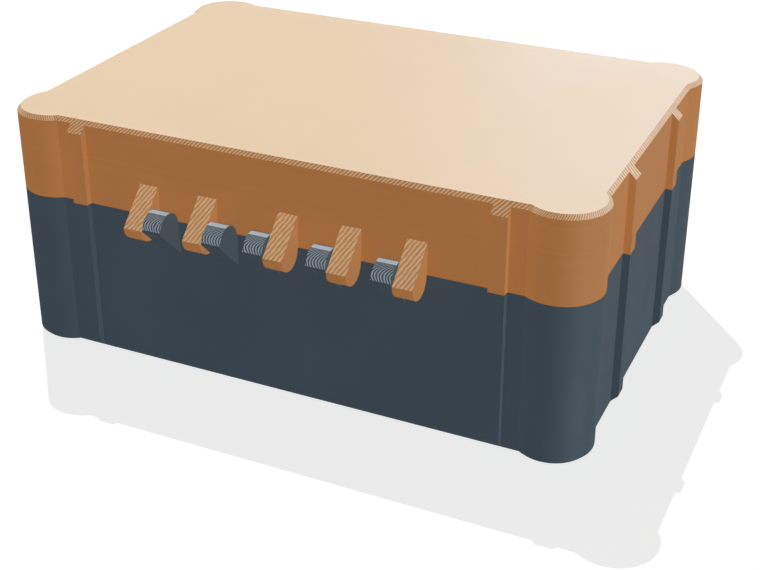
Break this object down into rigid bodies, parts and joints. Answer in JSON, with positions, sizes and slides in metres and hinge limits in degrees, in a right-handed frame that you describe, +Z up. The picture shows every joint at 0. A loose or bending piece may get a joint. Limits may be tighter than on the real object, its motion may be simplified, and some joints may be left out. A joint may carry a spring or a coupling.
{
  "type": "rugged enclosure box",
  "caption": "Rectangular hinged plastic enclosure box with bulging corner posts, vertical ribs, a sealed rim, offset hinge knuckles and swing latches.",
  "frame": {"origin": "under the middle of the base's floor, on the surface that the box stands on", "axes": "+X along the hinge, -Y towards the hinge wall, +Y towards the latch wall, +Z up"},
  "size_m": [0.1536, 0.1176, 0.0634],
  "materials": {
    "base_plastic": "slate-blue printed plastic, fine layer lines",
    "lid_plastic": "tan printed plastic, fine layer lines",
    "latch_plastic": "tan printed plastic, fine layer lines",
    "seal_rubber": "matt black rubber",
    "pin_steel": "ground steel"
  },
  "bodies": {
    "base": {"base": "base_plastic", "rim_seal": "seal_rubber", "hinge_pin_1": "pin_steel", "hinge_pin_2": "pin_steel", "hinge_pin_3": "pin_steel", "hinge_pin_4": "pin_steel", "hinge_pin_5": "pin_steel", "latch_pin_1": "pin_steel", "latch_pin_2": "pin_steel"},
    "lid": {"lid": "lid_plastic"},
    "latch_1": {"latch_1": "latch_plastic"},
    "latch_2": {"latch_2": "latch_plastic"}
  },
  "joints": [
    {"name": "lid_hinge", "type": "hinge", "parent": "base", "child": "lid", "pos_m": [0, -0.0548, 0.0415], "axis": [1, 0, 0], "range_deg": [0, 180]},
    {"name": "latch_1_pivot", "type": "hinge", "parent": "base", "child": "latch_1", "pos_m": [-0.027, 0.0548, 0.0325], "axis": [1, 0, 0], "range_deg": [0, 180]},
    {"name": "latch_2_pivot", "type": "hinge", "parent": "base", "child": "latch_2", "pos_m": [0.027, 0.0548, 0.0325], "axis": [1, 0, 0], "range_deg": [0, 180]}
  ]
}
